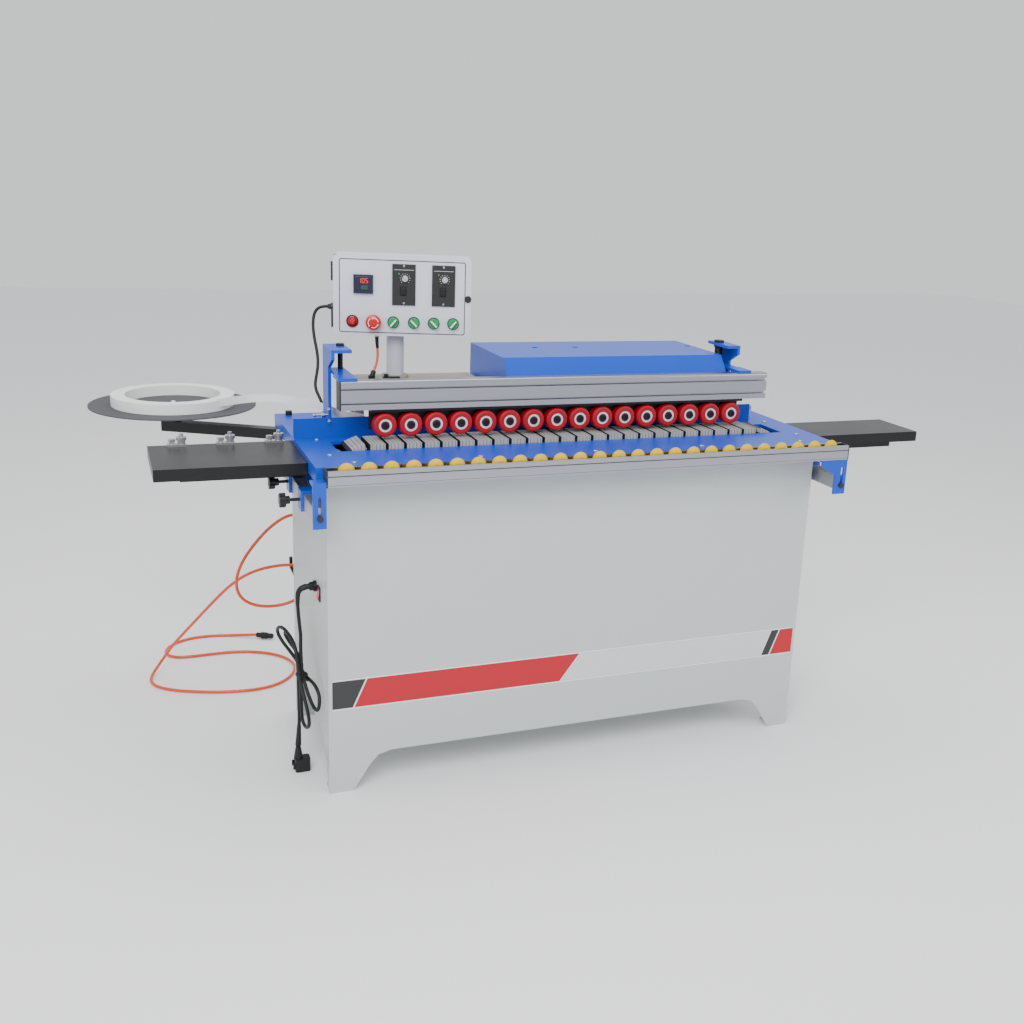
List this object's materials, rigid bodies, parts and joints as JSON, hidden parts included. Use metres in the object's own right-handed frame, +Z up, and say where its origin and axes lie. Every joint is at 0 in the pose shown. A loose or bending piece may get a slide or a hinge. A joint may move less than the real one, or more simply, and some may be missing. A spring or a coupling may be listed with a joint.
{
  "type": "edge banding machine",
  "caption": "Floor-standing automatic edge banding machine with chain-pad conveyor, roller pressure beam, tape reel, pull-out bead-wheel support and control box.",
  "frame": {"origin": "on the floor, under the middle of the machine's box without its hose and cords", "axes": "+X along the workpiece's travel, to the operator's right; +Y to the rear, away from the operator; +Z up"},
  "size_m": [2.231, 1.2051, 1.285],
  "materials": {
    "grey_paint": "satin powder coat",
    "blue_paint": "gloss powder coat",
    "black_board": "fine textured black",
    "aluminium": "drawn and anodised",
    "red_rubber": "moulded tread",
    "yellow_plastic": "moulded",
    "steel": "bright zinc",
    "dark_steel": "blackened",
    "grey_pad": "ribbed",
    "white_paint": "gloss powder coat",
    "beige_deck": "matt",
    "red_plastic": "moulded",
    "green_plastic": "moulded",
    "black_plastic": "moulded",
    "reel_grey": "sheet",
    "white_tape": "edge tape",
    "black_cable": "jacket",
    "orange_hose": "clear orange tube"
  },
  "bodies": {
    "machine": {"cabinet_shell": "grey_paint", "rear_panel": "grey_paint", "table_plate": "blue_paint", "table_fasteners": "dark_steel", "extension_tables": "black_board", "fence": "blue_paint", "conveyor_pads": "grey_pad", "inner_units": "dark_steel", "beam_posts": "blue_paint", "rear_deck": "beige_deck", "guide_saddles": "blue_paint", "cord_fittings": "black_plastic", "mains_cord": "black_cable", "mains_hank": "black_cable", "mains_plug": "black_plastic", "air_hose": "orange_hose", "hose_coupler": "black_plastic", "signal_cord": "black_cable", "drop_hose": "orange_hose"},
    "drive_sprocket": {"drive_sprocket": "dark_steel"},
    "idler_sprocket": {"idler_sprocket": "dark_steel"},
    "beam": {"pressure_beam": "aluminium", "roller_bar": "dark_steel", "beam_brackets": "blue_paint"},
    "left_screw": {"left_lead_screw": "dark_steel"},
    "right_screw": {"right_lead_screw": "dark_steel"},
    "hood": {"hood": "blue_paint"},
    "control_box": {"control_box": "white_paint"},
    "box_door": {"box_door": "white_paint"},
    "stop_button": {"stop_button": "red_plastic"},
    "power_switch": {"power_switch": "red_plastic"},
    "support": {"support_frame": "blue_paint", "front_rail": "aluminium", "bead_wheels": "yellow_plastic"},
    "clamp_knob_front": {"clamp_knob_front": "black_plastic"},
    "clamp_knob_rear": {"clamp_knob_rear": "black_plastic"},
    "reel_arm": {"reel_arm": "black_board"},
    "tape_reel": {"tape_reel": "reel_grey"},
    "roller_01": {"presser_roller_01": "red_rubber"},
    "roller_02": {"presser_roller_02": "red_rubber"},
    "roller_03": {"presser_roller_03": "red_rubber"},
    "roller_04": {"presser_roller_04": "red_rubber"},
    "roller_05": {"presser_roller_05": "red_rubber"},
    "roller_06": {"presser_roller_06": "red_rubber"},
    "roller_07": {"presser_roller_07": "red_rubber"},
    "roller_08": {"presser_roller_08": "red_rubber"},
    "roller_09": {"presser_roller_09": "red_rubber"},
    "roller_10": {"presser_roller_10": "red_rubber"},
    "roller_11": {"presser_roller_11": "red_rubber"},
    "roller_12": {"presser_roller_12": "red_rubber"},
    "roller_13": {"presser_roller_13": "red_rubber"},
    "roller_14": {"presser_roller_14": "red_rubber"},
    "roller_15": {"presser_roller_15": "red_rubber"},
    "roller_16": {"presser_roller_16": "red_rubber"},
    "selector_1": {"selector_1": "green_plastic"},
    "selector_2": {"selector_2": "green_plastic"},
    "selector_3": {"selector_3": "green_plastic"},
    "selector_4": {"selector_4": "green_plastic"},
    "speed_dial_1": {"speed_dial_1": "steel"},
    "speed_dial_2": {"speed_dial_2": "steel"}
  },
  "joints": [
    {"name": "drive_spin", "type": "hinge", "parent": "machine", "child": "drive_sprocket", "pos_m": [0.587, -0.259, 0.7847], "axis": [0, 1, 0], "continuous": true},
    {"name": "idler_spin", "type": "hinge", "parent": "machine", "child": "idler_sprocket", "pos_m": [-0.493, -0.259, 0.7847], "axis": [0, 1, 0], "continuous": true},
    {"name": "beam_lift", "type": "slide", "parent": "machine", "child": "beam", "axis": [0, 0, 1], "range_m": [0, 0.04]},
    {"name": "left_screw_turn", "type": "hinge", "parent": "machine", "child": "left_screw", "pos_m": [-0.5245, -0.128, 1.01], "axis": [0, 0, 1], "range_deg": [0, 3600]},
    {"name": "right_screw_turn", "type": "hinge", "parent": "machine", "child": "right_screw", "pos_m": [0.5485, -0.128, 1.01], "axis": [0, 0, 1], "range_deg": [0, 3600]},
    {"name": "roller_01_spin", "type": "hinge", "parent": "beam", "child": "roller_01", "pos_m": [-0.4438, -0.256, 0.899], "axis": [0, 1, 0], "continuous": true},
    {"name": "roller_02_spin", "type": "hinge", "parent": "beam", "child": "roller_02", "pos_m": [-0.3794, -0.256, 0.899], "axis": [0, 1, 0], "continuous": true},
    {"name": "roller_03_spin", "type": "hinge", "parent": "beam", "child": "roller_03", "pos_m": [-0.315, -0.256, 0.899], "axis": [0, 1, 0], "continuous": true},
    {"name": "roller_04_spin", "type": "hinge", "parent": "beam", "child": "roller_04", "pos_m": [-0.2506, -0.256, 0.899], "axis": [0, 1, 0], "continuous": true},
    {"name": "roller_05_spin", "type": "hinge", "parent": "beam", "child": "roller_05", "pos_m": [-0.1862, -0.256, 0.899], "axis": [0, 1, 0], "continuous": true},
    {"name": "roller_06_spin", "type": "hinge", "parent": "beam", "child": "roller_06", "pos_m": [-0.1218, -0.256, 0.899], "axis": [0, 1, 0], "continuous": true},
    {"name": "roller_07_spin", "type": "hinge", "parent": "beam", "child": "roller_07", "pos_m": [-0.0574, -0.256, 0.899], "axis": [0, 1, 0], "continuous": true},
    {"name": "roller_08_spin", "type": "hinge", "parent": "beam", "child": "roller_08", "pos_m": [0.007, -0.256, 0.899], "axis": [0, 1, 0], "continuous": true},
    {"name": "roller_09_spin", "type": "hinge", "parent": "beam", "child": "roller_09", "pos_m": [0.0714, -0.256, 0.899], "axis": [0, 1, 0], "continuous": true},
    {"name": "roller_10_spin", "type": "hinge", "parent": "beam", "child": "roller_10", "pos_m": [0.1358, -0.256, 0.899], "axis": [0, 1, 0], "continuous": true},
    {"name": "roller_11_spin", "type": "hinge", "parent": "beam", "child": "roller_11", "pos_m": [0.2002, -0.256, 0.899], "axis": [0, 1, 0], "continuous": true},
    {"name": "roller_12_spin", "type": "hinge", "parent": "beam", "child": "roller_12", "pos_m": [0.2646, -0.256, 0.899], "axis": [0, 1, 0], "continuous": true},
    {"name": "roller_13_spin", "type": "hinge", "parent": "beam", "child": "roller_13", "pos_m": [0.329, -0.256, 0.899], "axis": [0, 1, 0], "continuous": true},
    {"name": "roller_14_spin", "type": "hinge", "parent": "beam", "child": "roller_14", "pos_m": [0.3934, -0.256, 0.899], "axis": [0, 1, 0], "continuous": true},
    {"name": "roller_15_spin", "type": "hinge", "parent": "beam", "child": "roller_15", "pos_m": [0.4578, -0.256, 0.899], "axis": [0, 1, 0], "continuous": true},
    {"name": "roller_16_spin", "type": "hinge", "parent": "beam", "child": "roller_16", "pos_m": [0.5222, -0.256, 0.899], "axis": [0, 1, 0], "continuous": true},
    {"name": "hood_open", "type": "hinge", "parent": "machine", "child": "hood", "pos_m": [0.207, 0.103, 0.951], "axis": [-1, 0, 0], "range_deg": [0, 75]},
    {"name": "box_swivel", "type": "hinge", "parent": "machine", "child": "control_box", "pos_m": [-0.3435, 0.039, 1.081], "axis": [0, 0, 1], "range_deg": [-25, 45]},
    {"name": "door_open", "type": "hinge", "parent": "control_box", "child": "box_door", "pos_m": [-0.51088, 0.03982, 1.183], "axis": [0, 0, -1], "range_deg": [0, 100]},
    {"name": "stop_press", "type": "slide", "parent": "box_door", "child": "stop_button", "axis": [0.2538, 0.9673, 0], "range_m": [0, 0.004], "stiffness_N_per_m": 400},
    {"name": "selector_1_turn", "type": "hinge", "parent": "box_door", "child": "selector_1", "pos_m": [-0.36323, -0.01804, 1.118], "axis": [0.2538, 0.9673, 0], "range_deg": [-90, 0]},
    {"name": "selector_2_turn", "type": "hinge", "parent": "box_door", "child": "selector_2", "pos_m": [-0.31197, -0.03149, 1.118], "axis": [0.2538, 0.9673, 0], "range_deg": [0, 90]},
    {"name": "selector_3_turn", "type": "hinge", "parent": "box_door", "child": "selector_3", "pos_m": [-0.26215, -0.04455, 1.118], "axis": [0.2538, 0.9673, 0], "range_deg": [0, 90]},
    {"name": "selector_4_turn", "type": "hinge", "parent": "box_door", "child": "selector_4", "pos_m": [-0.2133, -0.05737, 1.118], "axis": [0.2538, 0.9673, 0], "range_deg": [-90, 0]},
    {"name": "speed_dial_1_turn", "type": "hinge", "parent": "box_door", "child": "speed_dial_1", "pos_m": [-0.3347, -0.02552, 1.231], "axis": [0.2538, 0.9673, 0], "range_deg": [-105, 165]},
    {"name": "speed_dial_2_turn", "type": "hinge", "parent": "box_door", "child": "speed_dial_2", "pos_m": [-0.23603, -0.05141, 1.231], "axis": [0.2538, 0.9673, 0], "range_deg": [-105, 165]},
    {"name": "switch_rock", "type": "hinge", "parent": "machine", "child": "power_switch", "pos_m": [-0.6175, -0.303, 0.493], "axis": [0, 1, 0], "range_deg": [0, 16]},
    {"name": "support_pull", "type": "slide", "parent": "machine", "child": "support", "axis": [0, -1, 0], "range_m": [0, 0.23]},
    {"name": "clamp_front_turn", "type": "hinge", "parent": "machine", "child": "clamp_knob_front", "pos_m": [-0.6815, -0.354, 0.75], "axis": [1, 0, 0], "range_deg": [-360, 0]},
    {"name": "clamp_rear_turn", "type": "hinge", "parent": "machine", "child": "clamp_knob_rear", "pos_m": [-0.6815, -0.187, 0.75], "axis": [1, 0, 0], "range_deg": [-360, 0]},
    {"name": "reel_arm_swing", "type": "hinge", "parent": "machine", "child": "reel_arm", "pos_m": [-0.6125, 0.132, 0.811], "axis": [0, 0, 1], "range_deg": [-60, 28]},
    {"name": "reel_spin", "type": "hinge", "parent": "reel_arm", "child": "tape_reel", "pos_m": [-0.8975, 0.292, 0.858], "axis": [0, 0, 1], "continuous": true}
  ],
  "couplings": [
    {"joint": "idler_spin", "follows": "drive_spin", "ratio": 1},
    {"joint": "left_screw_turn", "follows": "beam_lift", "rad_per_m": 1570.6},
    {"joint": "right_screw_turn", "follows": "beam_lift", "rad_per_m": 1570.6}
  ]
}
